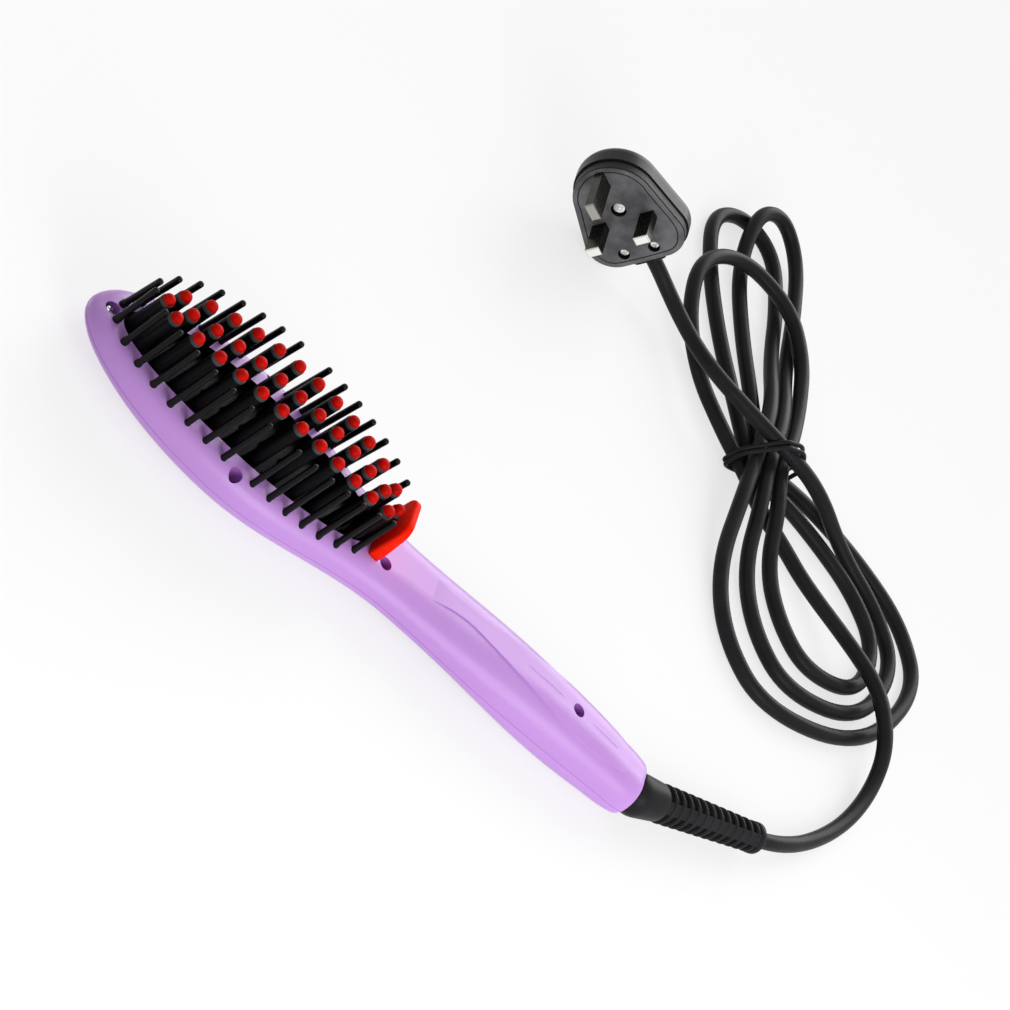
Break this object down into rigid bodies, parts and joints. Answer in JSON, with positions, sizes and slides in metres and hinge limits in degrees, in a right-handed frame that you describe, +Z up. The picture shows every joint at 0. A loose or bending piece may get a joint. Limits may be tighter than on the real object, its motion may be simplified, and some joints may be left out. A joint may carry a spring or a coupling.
{
  "type": "hair straightening brush",
  "caption": "Corded hair straightening brush: oval head with heated capped teeth between bristle rows, slim handle, back buttons, ribbed strain relief and a tied mains lead with plug.",
  "frame": {"origin": "on the table under the middle of the brush without its cord", "axes": "+X from the tip of the head to the end of the handle, +Z up out of the bristles"},
  "size_m": [0.4298, 0.3993, 0.0473],
  "materials": {
    "purple_shell": "gloss moulded plastic",
    "black_nylon": "satin moulded nylon",
    "red_guard": "gloss moulded plastic",
    "coated_plate": "black coated aluminium",
    "coated_teeth": "black ceramic coating",
    "red_silicone": "soft matte silicone",
    "screw_steel": "zinc plated",
    "heater_ceramic": "sintered ceramic, matte",
    "clamp_steel": "sheet steel",
    "board_laminate": "solder masked laminate",
    "component_black": "moulded component bodies",
    "display_window": "clear tinted window",
    "button_grey": "satin moulded plastic",
    "lead_sleeve": "woven sleeve",
    "cord_rubber": "matte flexible sheath",
    "plug_black": "satin moulded plastic",
    "pin_brass": "bright plated brass",
    "sleeve_black": "moulded insulation"
  },
  "bodies": {
    "brush": {"front_shell": "purple_shell", "near_bristles": "black_nylon", "far_bristles": "black_nylon", "bristle_strips": "black_nylon", "end_guard": "red_guard", "rear_shell": "purple_shell", "display_lens": "display_window", "shell_screws": "screw_steel", "heat_plate": "coated_plate", "heating_teeth": "coated_teeth", "tooth_caps": "red_silicone", "heater_element": "heater_ceramic", "heater_clamp": "clamp_steel", "clamp_screws": "screw_steel", "thermistor": "component_black", "thermal_fuse": "component_black", "control_board": "board_laminate", "board_screws": "screw_steel", "display_module": "component_black", "tact_switches": "component_black", "power_triac": "component_black", "supply_capacitor": "component_black", "heater_leads": "lead_sleeve", "mains_leads": "lead_sleeve", "inner_cord": "cord_rubber", "cord_clamp": "black_nylon", "cord_clamp_screws": "screw_steel", "strain_relief": "cord_rubber", "cord_hank": "cord_rubber", "cord_tie": "cord_rubber", "cord_lead": "cord_rubber", "plug_base": "plug_black", "plug_cover": "plug_black", "line_pins": "pin_brass", "pin_sleeves": "sleeve_black", "earth_pin": "pin_brass", "plug_screw": "screw_steel", "grip_screws": "screw_steel", "plug_cord_grip": "plug_black", "plug_fuse": "heater_ceramic", "cord_tail": "cord_rubber"},
    "power": {"power_button": "button_grey"},
    "plus": {"plus_button": "button_grey"},
    "minus": {"minus_button": "button_grey"}
  },
  "joints": [
    {"name": "power_press", "type": "slide", "parent": "brush", "child": "power", "axis": [0, 0, 1], "range_m": [0, 0.0005], "stiffness_N_per_m": 800},
    {"name": "plus_press", "type": "slide", "parent": "brush", "child": "plus", "axis": [0, 0, 1], "range_m": [0, 0.0005], "stiffness_N_per_m": 800},
    {"name": "minus_press", "type": "slide", "parent": "brush", "child": "minus", "axis": [0, 0, 1], "range_m": [0, 0.0005], "stiffness_N_per_m": 800}
  ]
}
